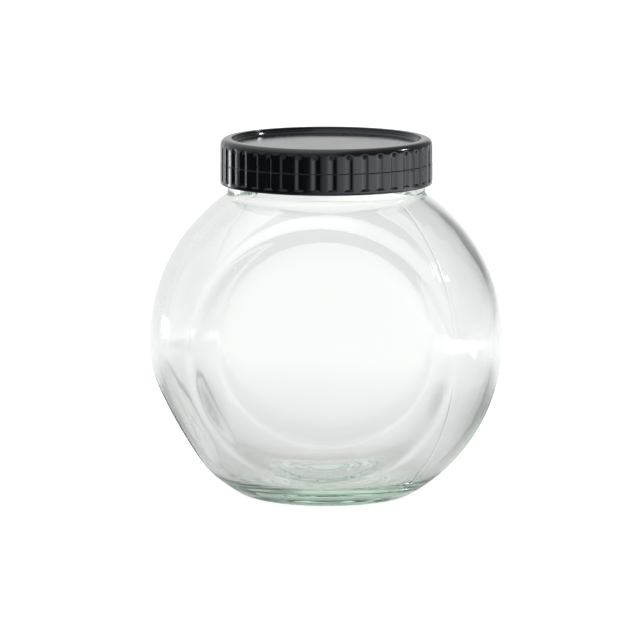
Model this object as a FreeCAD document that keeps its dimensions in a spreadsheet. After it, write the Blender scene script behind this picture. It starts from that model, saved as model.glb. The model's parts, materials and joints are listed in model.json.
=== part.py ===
import FreeCAD, Part
import Sketcher

import math
import os

# A half-gallon glass coin jar with a screw lid. Millimetres and degrees, +Z up, and the origin in
# the middle of the base plane. The round body is a globe with flattened front and back faces, a flat
# base and a second, tilted resting face on the -X side. The lid shares the jar's axis, which is Z.

SIZES = {
    # Outside of the glass body
    "globe_radius": 85.0,
    "globe_height": 76.0,
    "body_depth": 119.0,
    "tilt_angle": 60.0,
    "tilt_face_distance": 79.3,
    "face_crease": 5.0,
    "tilt_crease": 5.0,
    "heel_radius": 6.0,
    "shoulder_fillet": 3.5,
    # Inside of the glass body, where blown glass keeps thick, soft corners
    "globe_wall": 4.2,
    "face_wall": 3.8,
    "tilt_face_wall": 4.0,
    "floor_height": 10.7,
    "floor_rise": 4.8,
    "floor_dome_radius": 34.0,
    "inner_crease": 7.0,
    "inner_heel": 17.0,
    "inner_tilt_crease": 6.0,
    "inner_shoulder": 6.0,
    # Underside
    "push_up_radius": 29.0,
    "push_up_rise": 3.0,
    "outer_ring_radius": 24.9,
    "inner_ring_radius": 16.9,
    "ring_groove": 0.7,
    # Neck and its continuous thread
    "neck_radius": 47.55,
    "neck_wall": 3.8,
    "neck_top": 168.1,
    "rim_rounding": 1.3,
    "thread_pitch": 5.08,
    "thread_turns": 1.5,
    "thread_start": 156.5,
    "thread_depth": 1.4,
    "thread_root_width": 2.8,
    "thread_crest_width": 1.2,
    "thread_sink": 0.6,
    # Lid
    "lid_radius": 50.95,
    "lid_height": 21.9,
    "skirt_depth": 17.95,
    "upper_skirt_inset": 0.35,
    "parting_height": 10.0,
    "plain_band": 2.0,
    "shoulder_drop": 3.1,
    "crown_radius": 3.0,
    "rib_count": 40.0,
    "rib_phase": 5.2,
    "groove_width": 3.0,
    "groove_floor_radius": 50.05,
    "groove_run_out": 1.2,
    "skirt_bore_radius": 49.2,
    "lead_in": 0.6,
    "deck_thickness": 1.5,
    "recess_radius": 45.55,
    "recess_step": 1.2,
    "recess_ledge": 0.9,
    "recess_taper": 0.5,
    "recess_fillet": 0.8,
    "lid_thread_depth": 1.35,
    "lid_thread_root_width": 2.2,
    "lid_thread_crest_width": 0.8,
    "lid_thread_drop": 1.95,
    # Liner
    "liner_radius": 48.55,
    "liner_thickness": 1.2,
    "liner_edge": 0.2,
    "contact_gap": 0.04,
}

doc = FreeCAD.newDocument("coin_bank_jar")
sheet = doc.addObject("Spreadsheet::Sheet", "sizes")
for row, (alias, value) in enumerate(SIZES.items(), start=1):
    sheet.set(f"A{row}", alias)
    sheet.set(f"B{row}", str(value))
    sheet.setAlias(f"B{row}", alias)
doc.recompute()


def bound(expression):
    """The expression with every sheet alias in it written as a reference to the sheet."""
    words = expression.replace("(", "( ").replace(")", " )").split()
    return " ".join(f"sizes.{word}" if word in SIZES else word for word in words)


def number(expression):
    """The expression's value in millimetres, worked out by the sheet's own engine."""
    return float(sheet.evalExpression(bound(expression)))


def primitive(kind, name, **expressions):
    """A Part primitive whose properties, and place as at_x, at_y and at_z, follow the sheet."""
    shape = doc.addObject(kind, name)
    for prop, expression in expressions.items():
        path = prop.replace("at_", "Placement.Base.")
        shape.setExpression(path, bound(expression))
    return shape


def combine(kind, name, base, tool):
    result = doc.addObject(kind, name)
    result.Base = base
    result.Tool = tool
    doc.recompute()
    return result


def edges_in_plane(shape, point, normal, slack=0.01):
    """Numbers of the shape's edges that lie wholly in one plane."""
    found = []
    for index, edge in enumerate(shape.Edges, start=1):
        if edge.Degenerated:
            continue
        samples = edge.discretize(5)
        if all(abs((place - point).dot(normal)) < slack for place in samples):
            found.append(index)
    return found


def rounded(name, base, choices):
    """A Part::Fillet of base, with choices as pairs of edge numbers and the cell of their radius."""
    result = doc.addObject("Part::Fillet", name)
    result.Base = base
    result.Edges = [(edge, number(cell), number(cell)) for edges, cell in choices for edge in edges]
    doc.recompute()
    return result


def vessel(name, globe, half_depth, tilt_distance, bottom, neck, top, creases):
    """The flattened globe with its base, tilted face and neck, rounded along every crease.

    The sizes are expressions. creases names the cells for the face, heel, tilt and shoulder radii."""
    face_crease, heel, tilt_crease, shoulder = creases
    along_y = FreeCAD.Vector(0, 1, 0)
    along_z = FreeCAD.Vector(0, 0, 1)
    middle = FreeCAD.Vector(0, 0, number("globe_height"))

    ball = primitive("Part::Sphere", f"{name}_globe", Radius=globe, at_z="globe_height")
    slab = primitive(
        "Part::Box",
        f"{name}_slab",
        Length="4 * globe_radius",
        Width=f"2 * ({half_depth})",
        Height="3 * globe_radius",
        at_x="-2 * globe_radius",
        at_y=f"-1 * ({half_depth})",
        at_z=bottom,
    )
    flattened = combine("Part::Common", f"{name}_flattened", ball, slab)
    front = edges_in_plane(flattened.Shape, -along_y * number(half_depth), along_y)
    back = edges_in_plane(flattened.Shape, along_y * number(half_depth), along_y)
    foot = edges_in_plane(flattened.Shape, along_z * number(bottom), along_z)
    softened = rounded(f"{name}_softened", flattened, [(front + back, face_crease), (foot, heel)])

    tilt_cut = primitive(
        "Part::Cylinder",
        f"{name}_tilt_cut",
        Radius="globe_radius / 2",
        Height="globe_radius / 2",
    )
    tilt_cut.Placement.Rotation = FreeCAD.Rotation(along_y, number("tilt_angle - 180"))
    tilt_cut.setExpression("Placement.Rotation.Angle", bound("tilt_angle - 180"))
    tilt_cut.setExpression("Placement.Base.x", bound(f"-1 * ({tilt_distance}) * sin( tilt_angle )"))
    tilt_cut.setExpression("Placement.Base.z", bound(f"globe_height - ({tilt_distance}) * cos( tilt_angle )"))
    tilted = combine("Part::Cut", f"{name}_tilted", softened, tilt_cut)
    tilt = math.radians(number("tilt_angle"))
    tilt_normal = FreeCAD.Vector(-math.sin(tilt), 0, -math.cos(tilt))
    tilt_edges = edges_in_plane(tilted.Shape, middle + tilt_normal * number(tilt_distance), tilt_normal)
    eased = rounded(f"{name}_eased", tilted, [(tilt_edges, tilt_crease)])

    stem = primitive(
        "Part::Cylinder",
        f"{name}_neck",
        Radius=neck,
        Height=f"{top} - globe_height",
        at_z="globe_height",
    )
    joined = combine("Part::Fuse", f"{name}_joined", eased, stem)
    junction_height = number("globe_height") + math.sqrt(number(globe) ** 2 - number(neck) ** 2)
    junction = edges_in_plane(joined.Shape, along_z * junction_height, along_z)
    return rounded(f"{name}_rounded", joined, [(junction, shoulder)])


def cap_ball(radius, rise):
    """Expression for the radius of the sphere whose cap is this wide in radius and this high."""
    return f"(({radius} * {radius} + {rise} * {rise}) / (2 * {rise}))"


def cap_of_sphere(name, radius, rise, at_z):
    """A large sphere whose cap stands rise above at_z and is radius wide there, all cells."""
    ball = cap_ball(radius, rise)
    return primitive("Part::Sphere", name, Radius=ball, at_z=f"{at_z} + {rise} - {ball}")


def origin_plane(body, role):
    return next(feature for feature in body.Origin.OriginFeatures if feature.Role == role)


def new_sketch(body, name, role="XZ_Plane"):
    sketch = body.newObject("Sketcher::SketchObject", name)
    sketch.AttachmentSupport = [(origin_plane(body, role), "")]
    sketch.MapMode = "FlatFace"
    return sketch


def outline(body, name, corners):
    """A closed straight outline in the XZ plane. Each corner is an (r, z) pair of expressions."""
    sketch = new_sketch(body, name)
    places = [FreeCAD.Vector(number(r), number(z), 0) for r, z in corners]
    count = len(places)
    for index in range(count):
        sketch.addGeometry(Part.LineSegment(places[index], places[(index + 1) % count]), False)
    for index in range(count):
        joined = Sketcher.Constraint("Coincident", index, 2, (index + 1) % count, 1)
        sketch.addConstraint(joined)
    for index, (r, z) in enumerate(corners):
        if places[index].x == 0.0:
            sketch.addConstraint(Sketcher.Constraint("PointOnObject", index, 1, -2))
        else:
            across = sketch.addConstraint(Sketcher.Constraint("DistanceX", -1, 1, index, 1, places[index].x))
            sketch.setExpression(f"Constraints[{across}]", bound(r))
        up = sketch.addConstraint(Sketcher.Constraint("DistanceY", -1, 1, index, 1, places[index].y))
        sketch.setExpression(f"Constraints[{up}]", bound(z))
    doc.recompute()
    return sketch


def turned(body, name, sketch):
    """A full turn of the sketch about the jar's axis."""
    feature = body.newObject("PartDesign::Revolution", name)
    feature.Profile = sketch
    feature.ReferenceAxis = (sketch, ["V_Axis"])
    feature.Angle = 360.0
    doc.recompute()
    return feature


def thread_body(name, root_radius, crest_radius, start, root_width, crest_width):
    """A helical bead from the root radius to the crest radius, made right-handed about the jar's axis."""
    body = doc.addObject("PartDesign::Body", name)
    sketch = outline(
        body,
        f"{name}_section",
        [
            (root_radius, f"{start} - {root_width} / 2"),
            (crest_radius, f"{start} - {crest_width} / 2"),
            (crest_radius, f"{start} + {crest_width} / 2"),
            (root_radius, f"{start} + {root_width} / 2"),
        ],
    )
    helix = body.newObject("PartDesign::AdditiveHelix", f"{name}_helix")
    helix.Profile = sketch
    helix.ReferenceAxis = (sketch, ["V_Axis"])
    helix.Mode = "pitch-height-angle"
    helix.setExpression("Pitch", bound("thread_pitch"))
    helix.setExpression("Height", bound("thread_pitch * thread_turns"))
    helix.Angle = 0.0
    helix.LeftHanded = False
    helix.Reversed = False
    doc.recompute()
    return body


def make_glass_jar():
    outside = vessel(
        "outside",
        "globe_radius",
        "body_depth / 2",
        "tilt_face_distance",
        "0",
        "neck_radius",
        "neck_top",
        ["face_crease", "heel_radius", "tilt_crease", "shoulder_fillet"],
    )
    cavity = vessel(
        "cavity",
        "globe_radius - globe_wall",
        "body_depth / 2 - face_wall",
        "tilt_face_distance - tilt_face_wall",
        "floor_height",
        "neck_radius - neck_wall",
        "neck_top + rim_rounding",
        ["inner_crease", "inner_heel", "inner_tilt_crease", "inner_shoulder"],
    )
    dome = cap_of_sphere("floor_dome", "floor_dome_radius", "floor_rise", "floor_height")
    domed_cavity = combine("Part::Cut", "domed_cavity", cavity, dome)
    shell = combine("Part::Cut", "shell", outside, domed_cavity)

    push_up = cap_of_sphere("push_up", "push_up_radius", "push_up_rise", "0")
    footed = combine("Part::Cut", "footed", shell, push_up)
    push_up_ball = cap_ball("push_up_radius", "push_up_rise")
    for ring in ("outer_ring", "inner_ring"):
        drop = f"{push_up_ball} - sqrt( {push_up_ball} ^ 2 - {ring}_radius ^ 2 )"
        groove = primitive(
            "Part::Torus",
            f"{ring}_groove",
            Radius1=f"{ring}_radius",
            Radius2="ring_groove",
            at_z=f"push_up_rise - ({drop})",
        )
        footed = combine("Part::Cut", f"footed_with_{ring}", footed, groove)

    along_z = FreeCAD.Vector(0, 0, 1)
    rim_edges = edges_in_plane(footed.Shape, along_z * number("neck_top"), along_z)
    smooth_rim = rounded("smooth_rim", footed, [(rim_edges, "rim_rounding")])

    thread = thread_body(
        "glass_thread",
        "neck_radius - thread_sink",
        "neck_radius + thread_depth",
        "thread_start",
        "thread_root_width",
        "thread_crest_width",
    )
    return combine("Part::Fuse", "glass_jar", smooth_rim, thread)


def ring_edges(shape, radius, height, slack=0.01):
    """Names of the shape's edges that lie on one circle about the jar's axis."""
    along_z = FreeCAD.Vector(0, 0, 1)
    level = edges_in_plane(shape, along_z * height, along_z)
    return [f"Edge{n}" for n in level if abs(shape.Edges[n - 1].Curve.Radius - radius) < slack]


def body_fillet(body, name, base, edges, cell):
    feature = body.newObject("PartDesign::Fillet", name)
    feature.Base = (base, edges)
    feature.setExpression("Radius", bound(cell))
    doc.recompute()
    return feature


def make_screw_lid():
    deck_under = "(neck_top + 2 * contact_gap + liner_thickness)"
    deck_top = f"({deck_under} + deck_thickness)"
    bottom = f"({deck_under} - skirt_depth)"
    crown = f"({bottom} + lid_height)"
    upper = "(lid_radius - upper_skirt_inset)"
    parting = f"({bottom} + parting_height)"

    body = doc.addObject("PartDesign::Body", "lid_shell")
    section = outline(
        body,
        "lid_section",
        [
            ("0", deck_under),
            ("skirt_bore_radius", deck_under),
            ("skirt_bore_radius", f"{bottom} + lead_in"),
            ("skirt_bore_radius + lead_in", bottom),
            ("lid_radius", bottom),
            ("lid_radius", parting),
            (upper, f"{parting} + upper_skirt_inset / 2"),
            (upper, crown),
            ("recess_radius", crown),
            ("recess_radius - recess_taper / 2", f"{crown} - recess_step"),
            ("recess_radius - recess_ledge", f"{crown} - recess_step"),
            ("recess_radius - recess_ledge - recess_taper", deck_top),
            ("0", deck_top),
        ],
    )
    solid = turned(body, "lid_turned", section)
    shoulder = ring_edges(solid.Shape, number(upper), number(crown))
    solid = body_fillet(body, "lid_shoulder", solid, shoulder, "crown_radius")
    recess_foot = ring_edges(
        solid.Shape, number("recess_radius - recess_ledge - recess_taper"), number(deck_top)
    )
    solid = body_fillet(body, "lid_recess_foot", solid, recess_foot, "recess_fillet")

    groove_top = f"({crown} - shoulder_drop)"
    groove = outline(
        body,
        "groove_section",
        [
            ("groove_floor_radius", f"{bottom} + plain_band"),
            ("lid_radius + lead_in", f"{bottom} + plain_band"),
            ("lid_radius + lead_in", f"{groove_top} + groove_run_out"),
            (upper, groove_top),
            ("groove_floor_radius", f"{groove_top} - groove_run_out"),
        ],
    )
    pocket = body.newObject("PartDesign::Pocket", "lid_groove")
    pocket.Profile = groove
    pocket.Midplane = True
    pocket.setExpression("Length", bound("groove_width"))
    doc.recompute()
    ribs = body.newObject("PartDesign::PolarPattern", "lid_ribs")
    ribs.Originals = [pocket]
    ribs.Axis = (groove, ["V_Axis"])
    ribs.Angle = 360.0
    ribs.setExpression("Occurrences", bound("rib_count"))
    body.Tip = ribs
    body.Placement.Rotation = FreeCAD.Rotation(FreeCAD.Vector(0, 0, 1), number("rib_phase"))
    body.setExpression("Placement.Rotation.Angle", bound("rib_phase"))
    doc.recompute()

    thread = thread_body(
        "lid_thread",
        "skirt_bore_radius + thread_sink",
        "skirt_bore_radius - lid_thread_depth",
        "thread_start - lid_thread_drop",
        "lid_thread_root_width",
        "lid_thread_crest_width",
    )
    return combine("Part::Fuse", "screw_lid", body, thread)


def make_lid_liner():
    body = doc.addObject("PartDesign::Body", "lid_liner")
    section = outline(
        body,
        "liner_section",
        [
            ("0", "neck_top + contact_gap"),
            ("liner_radius - liner_edge", "neck_top + contact_gap"),
            ("liner_radius", "neck_top + contact_gap + liner_edge"),
            ("liner_radius", "neck_top + contact_gap + liner_thickness - liner_edge"),
            ("liner_radius - liner_edge", "neck_top + contact_gap + liner_thickness"),
            ("0", "neck_top + contact_gap + liner_thickness"),
        ],
    )
    turned(body, "liner_disc", section)
    return body


def write_parts(pieces):
    doc.recompute()
    for thing in doc.Objects:
        if any(flag in ("Invalid", "Error") for flag in thing.State):
            raise RuntimeError(f"{thing.Label} did not build: {thing.State}")
    os.makedirs("parts", exist_ok=True)
    for label, piece in pieces.items():
        piece.Label = label
        if piece.Shape.isNull() or not piece.Shape.isValid():
            raise RuntimeError(f"{label} has no valid shape")
        piece.Shape.exportStep(f"parts/{label}.step")
        print(label, round(piece.Shape.Volume / 1000.0, 2), "cm3", len(piece.Shape.Solids), "solid")


write_parts({"glass_jar": make_glass_jar(), "screw_lid": make_screw_lid(), "lid_liner": make_lid_liner()})
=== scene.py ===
import json
import math

import bpy
import numpy as np
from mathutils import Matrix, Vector, noise


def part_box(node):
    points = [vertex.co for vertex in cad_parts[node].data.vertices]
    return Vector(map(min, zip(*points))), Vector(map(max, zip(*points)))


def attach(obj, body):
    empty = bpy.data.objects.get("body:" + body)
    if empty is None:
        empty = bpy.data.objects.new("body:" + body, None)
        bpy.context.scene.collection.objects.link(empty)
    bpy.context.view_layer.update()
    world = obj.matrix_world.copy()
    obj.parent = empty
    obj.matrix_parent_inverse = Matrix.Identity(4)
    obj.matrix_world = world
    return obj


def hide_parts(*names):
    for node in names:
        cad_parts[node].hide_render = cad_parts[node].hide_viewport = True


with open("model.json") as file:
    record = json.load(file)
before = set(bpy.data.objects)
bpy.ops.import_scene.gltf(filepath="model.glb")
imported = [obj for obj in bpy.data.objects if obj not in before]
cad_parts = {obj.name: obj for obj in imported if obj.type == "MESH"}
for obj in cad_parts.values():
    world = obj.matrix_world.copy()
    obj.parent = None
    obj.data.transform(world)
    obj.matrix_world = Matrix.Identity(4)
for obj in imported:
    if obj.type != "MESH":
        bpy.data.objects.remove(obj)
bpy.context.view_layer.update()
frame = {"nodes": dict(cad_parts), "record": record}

# Everything is in metres, in the CAD's frame: +Z up, the jar's base at 0 and its axis on Z.
MM = 0.001

# ---------------------------------------------------------------- sizes read from the CAD frame

_, JAR_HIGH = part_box("glass_jar")
LID_LOW, LID_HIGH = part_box("screw_lid")
_, LINER_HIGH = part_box("lid_liner")
TILT_MOUNT = next(m for m in frame["record"]["mounts"] if m["name"] == "tilt_rest")
TILT_NORMAL = Vector(TILT_MOUNT["axis"])
TILT_DISTANCE = TILT_MOUNT["pos_m"][0] / TILT_NORMAL.x
GLOBE_HEIGHT = TILT_MOUNT["pos_m"][2] - TILT_DISTANCE * TILT_NORMAL.z
GLOBE_RADIUS = JAR_HIGH.x
HALF_DEPTH = JAR_HIGH.y
NECK_TOP = JAR_HIGH.z
LID_RADIUS = LID_HIGH.x
THREAD_RISE = abs(frame["record"]["behaviour"]["couplings"][0]["ratio"])

# ---------------------------------------------------------------- glass sizes

NECK_RADIUS = 47.55 * MM
NECK_WALL = 3.8 * MM
GLOBE_WALL = 4.2 * MM
FACE_WALL = 3.8 * MM
TILT_WALL = 4.0 * MM
FLOOR_HEIGHT = 8.7 * MM
FLOOR_RISE = 3.2 * MM
FLOOR_DOME = 37.0 * MM
POLE_RADIUS = 0.5 * MM
FOOT_EDGE = 38.0 * MM
PUSH_UP_RADIUS = 29.0 * MM
PUSH_UP_RISE = 2.0 * MM
UNDERSIDE_RINGS = (27.0 * MM, 17.0 * MM, 10.5 * MM)
RING_DEPTH = 0.4 * MM
RING_WIDTH = 1.5 * MM
THREAD_START = 156.5 * MM
THREAD_TURNS = 1.5
THREAD_DEPTH = 1.4 * MM
THREAD_HALF_WIDTH = 1.5 * MM
THREAD_ROUNDNESS = 0.8
THREAD_FADE = math.radians(25.0)
THREAD_MARGIN = 2.0 * MM
SEAM_ANGLE = math.radians(-42.0)
SEAM_WIDTH = 0.5 * MM
SEAM_RISE = 0.1 * MM
FACE_CREASE = 4.0 * MM
TILT_CREASE = 5.0 * MM
HEEL_ROUNDING = 16.0 * MM
SHOULDER_ROUNDING = 3.5 * MM
INNER_CREASE = 10.0 * MM
INNER_TILT_CREASE = 8.0 * MM
INNER_HEEL = 22.0 * MM
INNER_SHOULDER = 6.0 * MM
RIM_ROUNDING = 1.3 * MM
RIPPLE_LENGTH = 38.0 * MM
RIPPLE_HEIGHT = 0.35 * MM
RIPPLE_FADE = 0.5

# How far apart the glass's rings of points lie: a length on flat parts, an angle on round ones.
GLASS_COLUMNS = 280
FOOT_ROW = 1.2 * MM
GLOBE_ROW = math.radians(1.1)
NECK_ROW = 1.2 * MM
THREAD_ROW = 0.45 * MM
FLOOR_ROW = 1.6 * MM
HOLLOW_ROW = math.radians(1.3)
BORE_ROW = 1.5 * MM
NECK_GAP = 0.6 * MM
BORE_GAP = 1.0 * MM
SHOULDER_ROWS = 7
RIM_ROWS = 6

# Columns on each side of a mould seam, in seam widths, and how far the even columns keep away.
SEAM_COLUMNS = (0.0, 0.3, 0.6, 1.0, 1.6, 2.4)
SEAM_CLEAR = 1.2

# A direction that faces a plane less than this counts as this. Beyond this angle from straight down, in
# radians, a direction has left the foot.
LEAST_FACING = 0.05
FOOT_LIMIT = 1.0

# ---------------------------------------------------------------- lid sizes

RIB_COUNT = 40
RIB_PHASE = math.radians(5.2)
GROOVE_WIDTH = 4.6 * MM
GROOVE_DEPTH = 0.7 * MM
GROOVE_FLAT = 0.1
PLAIN_BAND = 2.0 * MM
LEDGE_EASE = 0.16 * MM
SHOULDER_DROP = 3.1 * MM
CROWN_RADIUS = 3.0 * MM
UPPER_INSET = 0.06 * MM
PARTING_HEIGHT = 10.0 * MM
SKIRT_BORE = 49.2 * MM
DECK_THICKNESS = 1.5 * MM
RECESS_RADIUS = 45.55 * MM
RECESS_STEP = 1.2 * MM
RECESS_LEDGE = 0.9 * MM
CONTACT_GAP = 0.04 * MM
LID_THREAD_DROP = 1.95 * MM
LID_THREAD_DEPTH = 1.35 * MM
LID_THREAD_HALF_WIDTH = 1.15 * MM
LID_THREAD_FLANK = 1.15
LID_THREAD_FADE = math.radians(20.0)
FOOT_CHAMFER = 0.6 * MM
CHAMFER_ROUNDING = 0.2 * MM
LIP_ROUNDING = 0.15 * MM
FOOT_RING_INSIDE = 0.9 * MM
FOOT_RING_OUTSIDE = 0.95 * MM
FOOT_ROUNDING = 0.45 * MM
PARTING_ROUNDING = 0.5 * MM
PARTING_SLOPE = 6.0
GROOVE_RUN_OUT = 0.85 * MM
RECESS_ROUNDING = 0.35 * MM
RECESS_DRAFT = 0.25 * MM
RECESS_FOOT_ROUNDING = 0.1 * MM
LEDGE_ROUNDING = 0.3 * MM
LEDGE_DRAFT = 0.5 * MM
DECK_FILLET = 0.8 * MM
BORE_FILLET = 0.4 * MM

# Where the lid's points lie. Columns are at shares of half a groove from its middle, and at a share of half
# a pitch on the rib. The ledge has its own rows, in LEDGE_EASE above it, and the bore has even ones between
# its margins. Elsewhere rows are at most so far apart, or turn at most so far round a corner.
GROOVE_COLUMNS = (0.0, 0.15, 0.3, 0.45, 0.6, 0.8, 1.0)
RIB_COLUMN = 0.8
LEDGE_ROWS = (-1.0, -0.5, 0.0, 0.5, 1.0)
LEDGE_CLEAR = 1.3
BORE_TOP_MARGIN = 0.5 * MM
BORE_FOOT_MARGIN = 0.9 * MM
LONGEST_INSIDE = 4.0 * MM
LONGEST_OUTSIDE = 1.3 * MM
LID_BORE_ROW = 0.6 * MM
ARC_STEP = math.radians(15.0)

# ---------------------------------------------------------------- material colours

# Smudges and polish are (noise from, noise to, roughness at from, roughness at to).
GLASS_SMUDGES = (0.5, 0.8, 0.0, 0.03)
GLASS_GREEN = (0.42, 0.74, 0.52, 1.0)
GLASS_GREEN_DENSITY = 8.0
LID_POLISH = (0.3, 0.7, 0.09, 0.15)
LID_SLATE = (0.0045, 0.006, 0.009, 1.0)
LID_GLOSS_TINT = (0.88, 0.95, 1.0, 1.0)
FOAM_WHITE = (0.75, 0.74, 0.7, 1.0)

# ---------------------------------------------------------------- studio and camera

# The camera sees an even, pale studio. What the glass and the plastic see of it is graded: the floor glows
# with painted tones, though it is no lamp, dark to the front left and bright to the front right, with
# painted shade beside the jar; floor and sky are both darker at the far right.
# A fade is (from, to, tone at from, tone at to): metres on the floor, parts of a unit direction in the sky.
SEEN_FLOOR_TONE = 0.8
SEEN_SKY_TONE = 1.1
FLOOR_HALF_WIDTH = 4.0
FLOOR_DROP = 0.2 * MM
# Painted tones on the floor, which glows with them: painted shade darker near the jar's back and in front
# of it, lighter further behind; darker towards the far right and the left; and under the jar a tone of its
# own.
FLOOR_PAINTED_SHADE_BY_DEPTH = (0.05, 0.45, 0.39, 0.545)
FLOOR_TO_THE_RIGHT = (0.1, 1.0, 1.0, 0.65)
FLOOR_TO_THE_LEFT = (-0.5, -0.1, 0.88, 1.0)
UNDER_THE_JAR_TONE = 0.42
PAST_THE_FOOT = (0.03, 0.07, 0.0, 1.0)
# Painted shade on the floor beside the jar, to the right and to the left, which ends behind it.
SHADE_TO_THE_RIGHT = (0.07, 0.11, 1.0, 0.5)
SHADE_TO_THE_LEFT = (-0.11, -0.07, 0.65, 1.0)
BEHIND_THE_SHADE = (0.15, 0.3, 0.0, 1.0)
# Painted tones on the far floor in front: dark to the left, bright to the right, for the lid to reflect.
DISTANT_SWEEP = (-0.45, 0.8, 0.0, 1.2)
OUT_OF_THE_MIDDLE = (0.6, 0.85, 0.0, 1.0)
NOT_BEHIND = (0.3, 0.5, 1.0, 0.0)
SKY_SWEEP = (-0.9, 0.9, 0.6, 0.45)
TOWARDS_THE_REAR = (0.1, 0.8, 0.0, 1.0)
REAR_TONE = 0.84
TOWARDS_OVERHEAD = (0.5, 0.95, 0.0, 1.0)
OVERHEAD_TONE = 1.5
PANEL_TO_THE_RIGHT = (0.14, 0.34, 0.0, 0.65)
ABOVE_THE_PANEL_FOOT = (0.0, 0.08, 0.45, 1.0)

KEY_PLACE = (1.12, 0.22, 0.7)
KEY_SIZE = (0.09, 0.22)
KEY_WATTS = 3.5
STRIP_PLACE = (-0.72, 0.55, 0.05)
STRIP_SIZE = (0.11, 0.075)
STRIP_WATTS = 0.15

CAMERA_AZIMUTH = math.radians(2.0)
CAMERA_ELEVATION = math.radians(8.2)
CAMERA_DISTANCE = 3.55
CAMERA_LENS = 418.8
SENSOR_WIDTH = 36.0
FARTHEST_SEEN = 50.0
AIM_TO_THE_RIGHT = -4.5 * MM
AIM_UPWARD = 10.4 * MM
LIGHT_BOUNCES = 32


def smooth_least(a, b, softness):
    """The lesser of two lengths, rounded off where they differ by less than softness."""
    closeness = np.clip(softness - np.abs(a - b), 0.0, None) / softness
    return np.minimum(a, b) - closeness**3 * softness / 6.0


def crease_softness(distance, globe, rounding):
    """The softness that gives a crease between a globe and a plane about this rounding radius."""
    slope = math.tan(math.acos(distance / globe))
    return rounding * slope * slope


def spread(start, stop, step):
    """Evenly spaced values from start up to, but without, stop."""
    count = max(2, round(abs(stop - start) / step))
    return np.linspace(start, stop, count, endpoint=False)


def polar_directions(polar, azimuth):
    """Unit vectors for angles from straight down and angles about Z, as a grid of rows by columns."""
    down = polar[:, None]
    around = azimuth[None, :]
    x = np.sin(down) * np.cos(around)
    y = np.sin(down) * np.sin(around)
    z = -np.cos(down) * np.ones_like(around)
    return np.stack([x, y, z], axis=-1)


def plane_reach(directions, normal, distance):
    """How far each direction goes before it meets the plane, with a very long reach where it never does."""
    facing = directions @ np.array(normal)
    return distance / np.maximum(facing, LEAST_FACING)


def globe_reach(directions, globe, half_depth, tilt_distance, foot_distance, roundings):
    """Distance from the globe's centre to the flattened globe's surface, for each direction."""
    face_rounding, tilt_rounding, heel_rounding = roundings
    reach = np.full(directions.shape[:-1], globe)
    foot_plane = float(np.max(foot_distance))
    planes = [
        ((0, -1, 0), half_depth, half_depth, face_rounding),
        ((0, 1, 0), half_depth, half_depth, face_rounding),
        (tuple(TILT_NORMAL), tilt_distance, tilt_distance, tilt_rounding),
        ((0, 0, -1), foot_distance, foot_plane, heel_rounding),
    ]
    for normal, distance, nominal, rounding in planes:
        softness = crease_softness(nominal, globe, rounding)
        reach = smooth_least(reach, plane_reach(directions, normal, distance), softness)
    return reach


def dome(radii, width):
    """1 at the middle and 0 at width and beyond, like a shallow cap of a sphere."""
    return np.clip(1.0 - (radii / width) ** 2, 0.0, None)


def underside_push_up(radii):
    """How far the underside stands above the base plane at these radii."""
    lift = PUSH_UP_RISE * dome(radii, PUSH_UP_RADIUS)
    for ring in UNDERSIDE_RINGS:
        lift = lift + RING_DEPTH * np.exp(-(((radii - ring) / RING_WIDTH) ** 2))
    return lift


def shoulder_arc(globe, neck, rounding):
    """Centre (radius, height) of the fillet between a globe and its neck, and its angle on the globe."""
    centre_radius = neck + rounding
    centre_height = math.sqrt((globe + rounding) ** 2 - centre_radius**2)
    return centre_radius, centre_height, math.atan2(centre_height, centre_radius)


def ringed(profile, azimuth):
    """Turns (radius, height) rows about Z into a grid of points."""
    radius, height = np.array(profile).T
    x = radius[:, None] * np.cos(azimuth)[None, :]
    y = radius[:, None] * np.sin(azimuth)[None, :]
    z = height[:, None] * np.ones_like(azimuth)[None, :]
    return np.stack([x, y, z], axis=-1)


def shoulder_profile(globe, neck, rounding, steps):
    """The fillet from the globe up to the neck as (radius, height) rows."""
    radius, height, start = shoulder_arc(globe, neck, rounding)
    rows = []
    for share in np.linspace(0.0, 1.0, steps):
        angle = math.pi + start * (1.0 - share)
        row_height = GLOBE_HEIGHT + height + rounding * math.sin(angle)
        rows.append((radius + rounding * math.cos(angle), row_height))
    return rows


def seam_ridge(points, azimuth):
    """How far the mould seam lifts the outer surface at these grid points."""
    radius = np.linalg.norm(points[..., :2], axis=-1)
    lift = np.zeros_like(radius)
    for angle in (SEAM_ANGLE, SEAM_ANGLE + math.pi):
        away = (azimuth - angle + math.pi) % (2 * math.pi) - math.pi
        lift += SEAM_RISE * np.exp(-((away[None, :] * radius / SEAM_WIDTH) ** 2))
    return lift


def thread_bead(height, azimuth):
    """How far the neck's thread stands out at these heights (rows) and angles (columns)."""
    lift = np.zeros((len(height), len(azimuth)))
    for turn in range(math.ceil(THREAD_TURNS) + 1):
        travelled = azimuth % (2 * math.pi) + 2 * math.pi * turn
        middle = THREAD_START + THREAD_RISE * travelled
        whole = 2 * math.pi * THREAD_TURNS
        ends = np.clip(np.minimum(travelled, whole - travelled) / THREAD_FADE, 0.0, 1.0)
        away = np.abs(height[:, None] - middle[None, :]) / THREAD_HALF_WIDTH
        bead = np.clip(1.0 - away**2, 0.0, None) ** THREAD_ROUNDNESS
        lift = np.maximum(lift, THREAD_DEPTH * bead * ends[None, :])
    return lift


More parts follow.
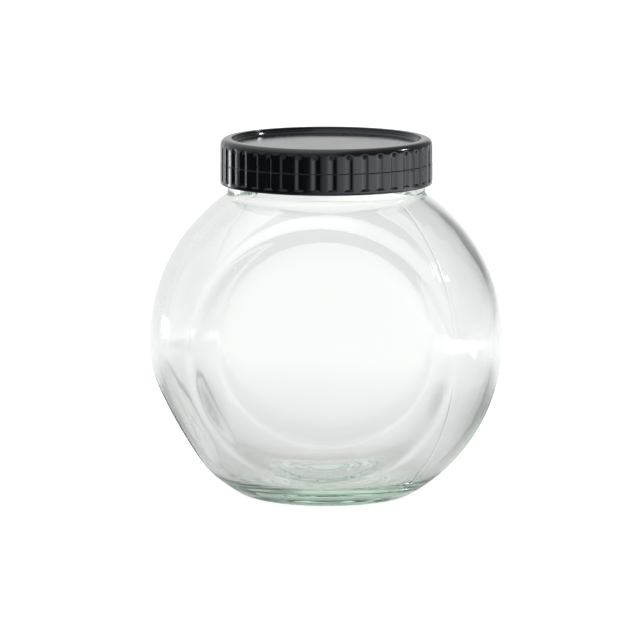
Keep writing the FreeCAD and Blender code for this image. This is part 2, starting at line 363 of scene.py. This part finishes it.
def closed_shell(name, grid, first_pole, last_pole):
    """A closed mesh from a grid of rings, with a point that closes the first and the last ring."""
    rows, columns = grid.shape[:2]
    points = [tuple(first_pole), *map(tuple, grid.reshape(-1, 3)), tuple(last_pole)]
    last = len(points) - 1
    faces = []
    for column in range(columns):
        beside = (column + 1) % columns
        faces.append((0, 1 + beside, 1 + column))
        for row in range(rows - 1):
            below = 1 + row * columns
            above = below + columns
            faces.append((below + column, below + beside, above + beside, above + column))
        top = 1 + (rows - 1) * columns
        faces.append((last, top + column, top + beside))
    mesh = bpy.data.meshes.new(name)
    mesh.from_pydata(points, [], faces)
    mesh.polygons.foreach_set("use_smooth", [True] * len(mesh.polygons))
    mesh.update()
    piece = bpy.data.objects.new(name, mesh)
    bpy.context.scene.collection.objects.link(piece)
    return piece


def glass_columns():
    """Angles about Z: an even turn, with close columns across each mould seam."""
    even = np.linspace(-math.pi, math.pi, GLASS_COLUMNS, endpoint=False)
    half = np.array(SEAM_COLUMNS) * SEAM_WIDTH / GLOBE_RADIUS
    close = np.concatenate([-half[:0:-1], half])
    seams = [SEAM_ANGLE, SEAM_ANGLE + math.pi]
    kept = [a for a in even if all(abs(a - s) > SEAM_CLEAR * half[-1] for s in seams)]
    return np.array(sorted(kept + [s + c for s in seams for c in close]))


def jar_outside(azimuth):
    """The outer surface from the underside's middle up to the rim, as rings of points."""
    heel_angle = math.acos(GLOBE_HEIGHT / GLOBE_RADIUS)
    _, _, shoulder = shoulder_arc(GLOBE_RADIUS, NECK_RADIUS, SHOULDER_ROUNDING)
    foot = np.arctan(spread(POLE_RADIUS, FOOT_EDGE, FOOT_ROW) / GLOBE_HEIGHT)
    polar = np.concatenate([foot, spread(heel_angle, math.pi / 2 + shoulder, GLOBE_ROW)])
    directions = polar_directions(polar, azimuth)
    radii = GLOBE_HEIGHT * np.tan(np.minimum(polar, FOOT_LIMIT))
    foot_distance = (GLOBE_HEIGHT - underside_push_up(radii))[:, None]
    roundings = (FACE_CREASE, TILT_CREASE, HEEL_ROUNDING)
    reach = globe_reach(directions, GLOBE_RADIUS, HALF_DEPTH, TILT_DISTANCE, foot_distance, roundings)
    globe = directions * reach[..., None]
    globe += directions * (seam_ridge(globe, azimuth) * (polar > heel_angle)[:, None])[..., None]
    globe[..., 2] += GLOBE_HEIGHT

    arc = ringed(shoulder_profile(GLOBE_RADIUS, NECK_RADIUS, SHOULDER_ROUNDING, SHOULDER_ROWS), azimuth)
    _, arc_height, _ = shoulder_arc(GLOBE_RADIUS, NECK_RADIUS, SHOULDER_ROUNDING)
    start = GLOBE_HEIGHT + arc_height + NECK_GAP
    below_thread = spread(start, THREAD_START - THREAD_MARGIN, NECK_ROW)
    threaded = spread(THREAD_START - THREAD_MARGIN, NECK_TOP - RIM_ROUNDING, THREAD_ROW)
    heights = np.concatenate([below_thread, threaded])
    neck = ringed([(NECK_RADIUS, height) for height in heights], azimuth)
    swell = 1.0 + thread_bead(heights, azimuth) / NECK_RADIUS
    neck[..., :2] *= swell[..., None]
    return np.concatenate([globe, arc, neck])


def jar_rim(azimuth):
    """The rounded rim, from the neck's outside over to its bore, as rings of points."""
    outer_corner = NECK_RADIUS - RIM_ROUNDING
    inner_corner = NECK_RADIUS - NECK_WALL + RIM_ROUNDING
    rows = []
    for corner, begin in ((outer_corner, 0.0), (inner_corner, 0.5)):
        for share in np.linspace(0.0, 0.5, RIM_ROWS):
            angle = math.pi * (begin + share)
            radius = corner + RIM_ROUNDING * math.cos(angle)
            rows.append((radius, NECK_TOP + RIM_ROUNDING * (math.sin(angle) - 1.0)))
    return ringed(rows, azimuth)


def jar_inside(azimuth):
    """The inner surface from just under the rim down to the floor's middle, as rings of points."""
    globe = GLOBE_RADIUS - GLOBE_WALL
    bore = NECK_RADIUS - NECK_WALL
    foot_height = GLOBE_HEIGHT - FLOOR_HEIGHT
    heel_angle = math.acos(foot_height / globe)
    arc_profile = shoulder_profile(globe, bore, INNER_SHOULDER, SHOULDER_ROWS)
    start = arc_profile[-1][1] + BORE_GAP
    neck = ringed([(bore, height) for height in spread(start, NECK_TOP - RIM_ROUNDING, BORE_ROW)], azimuth)
    arc = ringed(arc_profile, azimuth)
    _, _, shoulder = shoulder_arc(globe, bore, INNER_SHOULDER)
    floor = np.arctan(spread(POLE_RADIUS, foot_height * math.tan(heel_angle), FLOOR_ROW) / foot_height)
    polar = np.concatenate([floor, spread(heel_angle, math.pi / 2 + shoulder, HOLLOW_ROW)])
    directions = polar_directions(polar, azimuth)
    radii = foot_height * np.tan(np.minimum(polar, FOOT_LIMIT))
    foot_distance = (foot_height - FLOOR_RISE * dome(radii, FLOOR_DOME))[:, None]
    roundings = (INNER_CREASE, INNER_TILT_CREASE, INNER_HEEL)
    reach = globe_reach(
        directions, globe, HALF_DEPTH - FACE_WALL, TILT_DISTANCE - TILT_WALL, foot_distance, roundings
    )
    calm = np.clip((math.pi / 2 + shoulder - polar) / RIPPLE_FADE, 0.0, 1.0)[:, None]
    reach = reach + calm * wall_ripple(directions * reach[..., None])
    hollow = directions * reach[..., None]
    hollow[..., 2] += GLOBE_HEIGHT
    return np.concatenate([hollow, arc, neck])[::-1]


def wall_ripple(points):
    """The slow waves that blowing leaves in the inner surface."""
    flat = points.reshape(-1, 3)
    waves = [noise.noise(Vector(point) / RIPPLE_LENGTH) for point in flat]
    return RIPPLE_HEIGHT * np.array(waves).reshape(points.shape[:-1])


def make_jar():
    """The whole glass jar as one closed surface, in place of its CAD node."""
    azimuth = glass_columns()
    grid = np.concatenate([jar_outside(azimuth), jar_rim(azimuth), jar_inside(azimuth)])
    underside = (0, 0, float(grid[0, 0, 2]))
    floor = (0, 0, float(grid[-1, 0, 2]))
    piece = closed_shell("jar_glass", grid, underside, floor)
    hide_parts("glass_jar")
    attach(piece, "jar")
    return piece


# ---------------------------------------------------------------- lid


def softened(corners, longest):
    """(radius, height) rows along a path of (radius, height, rounding) corners, at most longest apart."""
    path = [np.array(corners[0][:2])]
    for before, corner, after in zip(corners, corners[1:], corners[2:]):
        point = np.array(corner[:2])
        arriving = np.array(before[:2]) - point
        leaving = np.array(after[:2]) - point
        arriving /= np.linalg.norm(arriving)
        leaving /= np.linalg.norm(leaving)
        half = math.acos(float(np.clip(arriving @ leaving, -1.0, 1.0))) / 2
        reach = corner[2] / math.tan(half)
        bisector = (arriving + leaving) / np.linalg.norm(arriving + leaving)
        centre = point + bisector * corner[2] / math.sin(half)
        first = point + arriving * reach - centre
        turn = (math.pi - 2 * half) * np.sign(first[1] * arriving[0] - first[0] * arriving[1])
        steps = max(2, round(abs(turn) / ARC_STEP))
        for share in np.linspace(0.0, 1.0, steps + 1):
            cos, sin = math.cos(turn * share), math.sin(turn * share)
            turned = (cos * first[0] - sin * first[1], sin * first[0] + cos * first[1])
            path.append(centre + np.array(turned))
    path.append(np.array(corners[-1][:2]))
    rows = [path[0]]
    for start, end in zip(path, path[1:]):
        pieces = max(1, math.ceil(np.linalg.norm(end - start) / longest))
        rows += [start + (end - start) * step / pieces for step in range(1, pieces + 1)]
    return np.array(rows)


def eased(value, start, end):
    """0 before start and 1 after end, with a smooth rise between them."""
    share = np.clip((value - start) / (end - start), 0.0, 1.0)
    return share * share * (3.0 - 2.0 * share)


def lid_columns():
    """Angles about Z, close together across each groove and further apart on the ribs between."""
    edge = GROOVE_WIDTH / 2
    half_pitch = math.pi / RIB_COUNT * LID_RADIUS
    offsets = [edge * share for share in GROOVE_COLUMNS] + [RIB_COLUMN * half_pitch]
    angles = {offset / LID_RADIUS * side for offset in offsets for side in (-1, 1)}
    around = sorted(angles | {math.pi / RIB_COUNT})
    pitch = 2 * math.pi / RIB_COUNT
    return np.array([RIB_PHASE + pitch * rib + angle for rib in range(RIB_COUNT) for angle in around])


def groove_depth(height, azimuth):
    """How deep the grooves cut below the skirt at these heights (rows) and angles (columns)."""
    pitch = 2 * math.pi / RIB_COUNT
    away = np.abs((azimuth - RIB_PHASE + pitch / 2) % pitch - pitch / 2) * LID_RADIUS
    across = 1.0 - eased(away, GROOVE_FLAT * GROOVE_WIDTH / 2, GROOVE_WIDTH / 2)
    ledge = LID_LOW.z + PLAIN_BAND
    run_out = LID_HIGH.z - SHOULDER_DROP
    above_ledge = eased(height, ledge - LEDGE_EASE, ledge + LEDGE_EASE)
    below_run_out = 1.0 - eased(height, run_out - GROOVE_RUN_OUT, run_out + GROOVE_RUN_OUT)
    return GROOVE_DEPTH * (above_ledge * below_run_out)[:, None] * across[None, :]


def lid_thread(height, azimuth):
    """How far the inside thread stands in from the skirt's bore."""
    lift = np.zeros((len(height), len(azimuth)))
    whole = 2 * math.pi * THREAD_TURNS
    for turn in range(math.ceil(THREAD_TURNS) + 1):
        travelled = azimuth % (2 * math.pi) + 2 * math.pi * turn
        middle = THREAD_START - LID_THREAD_DROP + THREAD_RISE * travelled
        ends = np.clip(np.minimum(travelled, whole - travelled) / LID_THREAD_FADE, 0.0, 1.0)
        away = np.abs(height[:, None] - middle[None, :]) / LID_THREAD_HALF_WIDTH
        flank = np.clip(LID_THREAD_FLANK * (1.0 - away), 0.0, 1.0)
        lift = np.maximum(lift, LID_THREAD_DEPTH * flank * ends[None, :])
    return lift


def lid_inside_rows(deck_under):
    """The inner surface from the deck's middle down to the foot, as (radius, height) rows."""
    bottom = LID_LOW.z
    corners = [
        (POLE_RADIUS, deck_under, 0.0),
        (SKIRT_BORE, deck_under, BORE_FILLET),
        (SKIRT_BORE, bottom + FOOT_CHAMFER, CHAMFER_ROUNDING),
        (SKIRT_BORE + FOOT_CHAMFER, bottom, LIP_ROUNDING),
        (SKIRT_BORE + FOOT_RING_INSIDE, bottom, 0.0),
    ]
    rows = softened(corners, LONGEST_INSIDE)
    heights = spread(deck_under - BORE_TOP_MARGIN, bottom + BORE_FOOT_MARGIN, LID_BORE_ROW)
    bore = [(SKIRT_BORE, height) for height in heights]
    above = [row for row in rows if row[1] > heights[0]]
    below = [row for row in rows if row[1] < heights[-1]]
    return np.array([*above, *bore, *below])


def lid_outside_rows(deck_top):
    """The outer surface from the foot over the crown to the deck's middle, as (radius, height) rows."""
    bottom = LID_LOW.z
    crown = LID_HIGH.z
    parting = bottom + PARTING_HEIGHT
    upper = LID_RADIUS - UPPER_INSET
    recess_floor = crown - RECESS_STEP
    step_radius = RECESS_RADIUS - RECESS_LEDGE
    corners = [
        (SKIRT_BORE + FOOT_RING_OUTSIDE, bottom, 0.0),
        (LID_RADIUS, bottom, FOOT_ROUNDING),
        (LID_RADIUS, parting, PARTING_ROUNDING),
        (upper, parting + PARTING_SLOPE * UPPER_INSET, PARTING_ROUNDING),
        (upper, crown, CROWN_RADIUS),
        (RECESS_RADIUS, crown, RECESS_ROUNDING),
        (RECESS_RADIUS - RECESS_DRAFT, recess_floor, RECESS_FOOT_ROUNDING),
        (step_radius, recess_floor, LEDGE_ROUNDING),
        (step_radius - LEDGE_DRAFT, deck_top, DECK_FILLET),
        (POLE_RADIUS, deck_top, 0.0),
    ]
    rows = softened(corners, LONGEST_OUTSIDE)
    ledge = bottom + PLAIN_BAND
    close = [(LID_RADIUS, ledge + offset * LEDGE_EASE) for offset in LEDGE_ROWS]
    skirt = [row for row in rows if abs(row[1] - ledge) > LEDGE_CLEAR * LEDGE_EASE or row[0] < upper]
    first_above = next(index for index, row in enumerate(skirt) if row[1] > ledge)
    return np.array([*skirt[:first_above], *close, *skirt[first_above:]])


def make_lid():
    """The whole screw lid as one closed surface, in place of its CAD node."""
    azimuth = lid_columns()
    deck_under = LINER_HIGH.z + CONTACT_GAP
    deck_top = deck_under + DECK_THICKNESS
    inner_rows = lid_inside_rows(deck_under)
    inner_grid = ringed(inner_rows, azimuth)
    on_bore = np.isclose(inner_rows[:, 0], SKIRT_BORE, rtol=0.0, atol=1e-9)[:, None]
    pull_in = lid_thread(inner_rows[:, 1], azimuth) * on_bore / inner_rows[:, :1]
    inner_grid[..., :2] *= (1.0 - pull_in)[..., None]

    outer_rows = lid_outside_rows(deck_top)
    outer_grid = ringed(outer_rows, azimuth)
    upper = LID_RADIUS - UPPER_INSET
    on_skirt = eased(outer_rows[:, 0], upper - CROWN_RADIUS, upper - 0.5 * CROWN_RADIUS)
    cut = groove_depth(outer_rows[:, 1], azimuth) * on_skirt[:, None] / outer_rows[:, :1]
    outer_grid[..., :2] *= (1.0 - cut)[..., None]
    grid = np.concatenate([inner_grid, outer_grid])
    piece = closed_shell("lid_shell", grid, (0, 0, deck_under), (0, 0, deck_top))
    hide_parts("screw_lid")
    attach(piece, "lid")
    return piece


# ---------------------------------------------------------------- materials


def new_material(name):
    """A new node material, with its nodes, its links and its shader."""
    material = bpy.data.materials.new(name)
    material.use_nodes = True
    nodes = material.node_tree.nodes
    shader = nodes["Principled BSDF"]
    return material, nodes, material.node_tree.links, shader


def noise_texture(nodes, links, scale, detail):
    """Noise in the object's own metres."""
    place = nodes.new("ShaderNodeTexCoord")
    texture = nodes.new("ShaderNodeTexNoise")
    texture.inputs["Scale"].default_value = scale
    texture.inputs["Detail"].default_value = detail
    links.new(place.outputs["Object"], texture.inputs["Vector"])
    return texture.outputs["Fac"]


def remap(nodes, links, source, low_in, high_in, low_out, high_out):
    """A socket's value carried from one range to another, and held at the ends."""
    span = nodes.new("ShaderNodeMapRange")
    span.inputs["From Min"].default_value = low_in
    span.inputs["From Max"].default_value = high_in
    span.inputs["To Min"].default_value = low_out
    span.inputs["To Max"].default_value = high_out
    links.new(source, span.inputs["Value"])
    return span.outputs["Result"]


def mixed(nodes, links, factor, first, second):
    """A mix of two values, each a socket or a number."""
    mix = nodes.new("ShaderNodeMix")
    links.new(factor, mix.inputs["Factor"])
    for name, value in (("A", first), ("B", second)):
        if isinstance(value, float):
            mix.inputs[name].default_value = value
        else:
            links.new(value, mix.inputs[name])
    return mix.outputs["Result"]


def product(nodes, links, first, second):
    """Two sockets' values multiplied."""
    node = nodes.new("ShaderNodeMath")
    node.operation = "MULTIPLY"
    links.new(first, node.inputs[0])
    links.new(second, node.inputs[1])
    return node.outputs["Value"]


def bumped(nodes, links, height, distance, strength):
    """A normal that follows a height texture."""
    bump = nodes.new("ShaderNodeBump")
    bump.inputs["Distance"].default_value = distance
    bump.inputs["Strength"].default_value = strength
    links.new(height, bump.inputs["Height"])
    return bump.outputs["Normal"]


def glass_material():
    """Clear glass with faint smudges and waves, green only where light goes a long way through it."""
    material, nodes, links, shader = new_material("clear_green_glass")
    shader.inputs["Base Color"].default_value = (1.0, 1.0, 1.0, 1.0)
    shader.inputs["Transmission Weight"].default_value = 1.0
    shader.inputs["IOR"].default_value = 1.5
    smudges = noise_texture(nodes, links, scale=22.0, detail=4.0)
    links.new(remap(nodes, links, smudges, *GLASS_SMUDGES), shader.inputs["Roughness"])
    waves = noise_texture(nodes, links, scale=45.0, detail=2.0)
    links.new(bumped(nodes, links, waves, distance=0.4 * MM, strength=0.25), shader.inputs["Normal"])
    absorption = nodes.new("ShaderNodeVolumeAbsorption")
    absorption.inputs["Color"].default_value = GLASS_GREEN
    absorption.inputs["Density"].default_value = GLASS_GREEN_DENSITY
    links.new(absorption.outputs["Volume"], nodes["Material Output"].inputs["Volume"])
    return material


def lid_material():
    """Dark slate plastic, glossy, with uneven polish and a very fine grain."""
    material, nodes, links, shader = new_material("slate_gloss_plastic")
    shader.inputs["Base Color"].default_value = LID_SLATE
    shader.inputs["Specular Tint"].default_value = LID_GLOSS_TINT
    shader.inputs["IOR"].default_value = 1.5
    patches = noise_texture(nodes, links, scale=60.0, detail=6.0)
    links.new(remap(nodes, links, patches, *LID_POLISH), shader.inputs["Roughness"])
    grain = noise_texture(nodes, links, scale=900.0, detail=3.0)
    links.new(bumped(nodes, links, grain, distance=0.02 * MM, strength=0.15), shader.inputs["Normal"])
    return material


def liner_material():
    """Off-white sealing foam with small cells."""
    material, nodes, links, shader = new_material("liner_foam")
    shader.inputs["Base Color"].default_value = FOAM_WHITE
    shader.inputs["Roughness"].default_value = 0.8
    cells = noise_texture(nodes, links, scale=2500.0, detail=3.0)
    links.new(bumped(nodes, links, cells, distance=0.1 * MM, strength=0.6), shader.inputs["Normal"])
    return material


def finish_with(piece, material):
    """Gives a piece this one material."""
    piece.data.materials.clear()
    piece.data.materials.append(material)


# ---------------------------------------------------------------- stage, lights and camera


def make_floor():
    """The pale floor: even to the camera; what the glass and the plastic see of it carries painted tones
    and painted shade, and it glows with them though it is no lamp.
    """
    half = FLOOR_HALF_WIDTH
    mesh = bpy.data.meshes.new("studio_floor")
    corners = [(-half, -half, 0), (half, -half, 0), (half, half, 0), (-half, half, 0)]
    mesh.from_pydata(corners, [], [(0, 1, 2, 3)])
    floor = bpy.data.objects.new("studio_floor", mesh)
    bpy.context.scene.collection.objects.link(floor)
    floor.location.z = -FLOOR_DROP
    material, nodes, links, shader = new_material("pale_floor")
    shader.inputs["Roughness"].default_value = 1.0
    shader.inputs["Specular IOR Level"].default_value = 0.0
    place = nodes.new("ShaderNodeTexCoord")
    split = nodes.new("ShaderNodeSeparateXYZ")
    links.new(place.outputs["Object"], split.inputs["Vector"])
    across = split.outputs["X"]
    back = split.outputs["Y"]
    # Painted shade by depth behind the jar, and painted tones darker to the sides.
    painted_shade_by_depth = remap(nodes, links, back, *FLOOR_PAINTED_SHADE_BY_DEPTH)
    right = remap(nodes, links, across, *FLOOR_TO_THE_RIGHT)
    left = remap(nodes, links, across, *FLOOR_TO_THE_LEFT)
    far = product(nodes, links, painted_shade_by_depth, product(nodes, links, left, right))
    radius = nodes.new("ShaderNodeVectorMath")
    radius.operation = "LENGTH"
    links.new(place.outputs["Object"], radius.inputs[0])
    outside = remap(nodes, links, radius.outputs["Value"], *PAST_THE_FOOT)
    behind = mixed(nodes, links, outside, UNDER_THE_JAR_TONE, far)
    # Painted shade beside the jar.
    shaded_right = remap(nodes, links, across, *SHADE_TO_THE_RIGHT)
    shaded_left = remap(nodes, links, across, *SHADE_TO_THE_LEFT)
    beyond = remap(nodes, links, back, *BEHIND_THE_SHADE)
    sides = mixed(nodes, links, beyond, product(nodes, links, shaded_left, shaded_right), 1.0)
    near = product(nodes, links, behind, sides)
    # Painted tones on the far floor in front, dark to the left and bright to the right.
    around = remap(nodes, links, across, *DISTANT_SWEEP)
    distant = remap(nodes, links, radius.outputs["Value"], *OUT_OF_THE_MIDDLE)
    in_front = remap(nodes, links, back, *NOT_BEHIND)
    indirect = mixed(nodes, links, product(nodes, links, distant, in_front), near, around)
    seen = nodes.new("ShaderNodeLightPath")
    tone = mixed(nodes, links, seen.outputs["Is Camera Ray"], indirect, SEEN_FLOOR_TONE)
    links.new(tone, shader.inputs["Base Color"])
    # Painted light: the floor glows with its own tone though it is no lamp, which keeps it near white to
    # the camera even in the jar's shadow and lights the jar from below.
    links.new(tone, shader.inputs["Emission Color"])
    shader.inputs["Emission Strength"].default_value = 1.0
    finish_with(floor, material)


def make_world():
    """The pale sky: even to the camera, graded in what the glass and the plastic see of it."""
    world = bpy.data.worlds.new("studio")
    bpy.context.scene.world = world
    world.use_nodes = True
    nodes = world.node_tree.nodes
    links = world.node_tree.links
    place = nodes.new("ShaderNodeTexCoord")
    split = nodes.new("ShaderNodeSeparateXYZ")
    links.new(place.outputs["Generated"], split.inputs["Vector"])
    sideways = remap(nodes, links, split.outputs["X"], *SKY_SWEEP)
    rear = remap(nodes, links, split.outputs["Y"], *TOWARDS_THE_REAR)
    around = mixed(nodes, links, rear, sideways, REAR_TONE)
    overhead = remap(nodes, links, split.outputs["Z"], *TOWARDS_OVERHEAD)
    total = mixed(nodes, links, overhead, around, OVERHEAD_TONE)
    to_right = remap(nodes, links, split.outputs["X"], *PANEL_TO_THE_RIGHT)
    above_panel = remap(nodes, links, split.outputs["Z"], *ABOVE_THE_PANEL_FOOT)
    shade = remap(nodes, links, product(nodes, links, to_right, above_panel), 0.0, 1.0, 1.0, 0.0)
    seen = nodes.new("ShaderNodeLightPath")
    graded = product(nodes, links, total, shade)
    strength = mixed(nodes, links, seen.outputs["Is Camera Ray"], graded, SEEN_SKY_TONE)
    nodes["Background"].inputs["Color"].default_value = (1.0, 1.0, 1.0, 1.0)
    links.new(strength, nodes["Background"].inputs["Strength"])


def area_light(name, place, size, power, target):
    """A soft rectangular light of this size and power in watts that faces the target."""
    light = bpy.data.lights.new(name, "AREA")
    light.shape = "RECTANGLE"
    light.size, light.size_y = size
    light.energy = power
    lamp = bpy.data.objects.new(name, light)
    bpy.context.scene.collection.objects.link(lamp)
    lamp.location = place
    lamp.rotation_euler = (Vector(target) - Vector(place)).to_track_quat("-Z", "Y").to_euler()


def make_lights():
    """A softbox high on the right, and a small low light that edges the lid on the left."""
    middle = (0, 0, GLOBE_HEIGHT)
    area_light("key_softbox", KEY_PLACE, KEY_SIZE, KEY_WATTS, middle)
    area_light("left_strip", STRIP_PLACE, STRIP_SIZE, STRIP_WATTS, middle)


def make_camera():
    """The photograph's view: slightly above, and slightly to the right of the jar's front."""
    middle = Vector((0, 0, GLOBE_HEIGHT))
    backward = Vector((
        math.sin(CAMERA_AZIMUTH) * math.cos(CAMERA_ELEVATION),
        -math.cos(CAMERA_AZIMUTH) * math.cos(CAMERA_ELEVATION),
        math.sin(CAMERA_ELEVATION),
    ))
    right = Vector((math.cos(CAMERA_AZIMUTH), math.sin(CAMERA_AZIMUTH), 0))
    upward = backward.cross(right)
    aim = middle + AIM_TO_THE_RIGHT * right + AIM_UPWARD * upward
    camera = bpy.data.cameras.new("camera")
    camera.lens = CAMERA_LENS
    camera.sensor_width = SENSOR_WIDTH
    camera.clip_end = FARTHEST_SEEN
    eye = bpy.data.objects.new("camera", camera)
    bpy.context.scene.collection.objects.link(eye)
    eye.location = middle + CAMERA_DISTANCE * backward
    eye.rotation_euler = (aim - eye.location).to_track_quat("-Z", "Y").to_euler()
    bpy.context.scene.camera = eye


def let_light_through_thick_glass():
    """Enough bounces for light that is trapped in the thick heel to find its way out."""
    cycles = bpy.context.scene.cycles
    cycles.max_bounces = LIGHT_BOUNCES
    cycles.transmission_bounces = LIGHT_BOUNCES
    cycles.glossy_bounces = LIGHT_BOUNCES


make_floor()
make_world()
make_lights()
make_camera()

jar = make_jar()
finish_with(jar, glass_material())
lid = make_lid()
finish_with(lid, lid_material())
finish_with(frame["nodes"]["lid_liner"], liner_material())

bpy.context.scene.view_settings.view_transform = "Standard"
let_light_through_thick_glass()
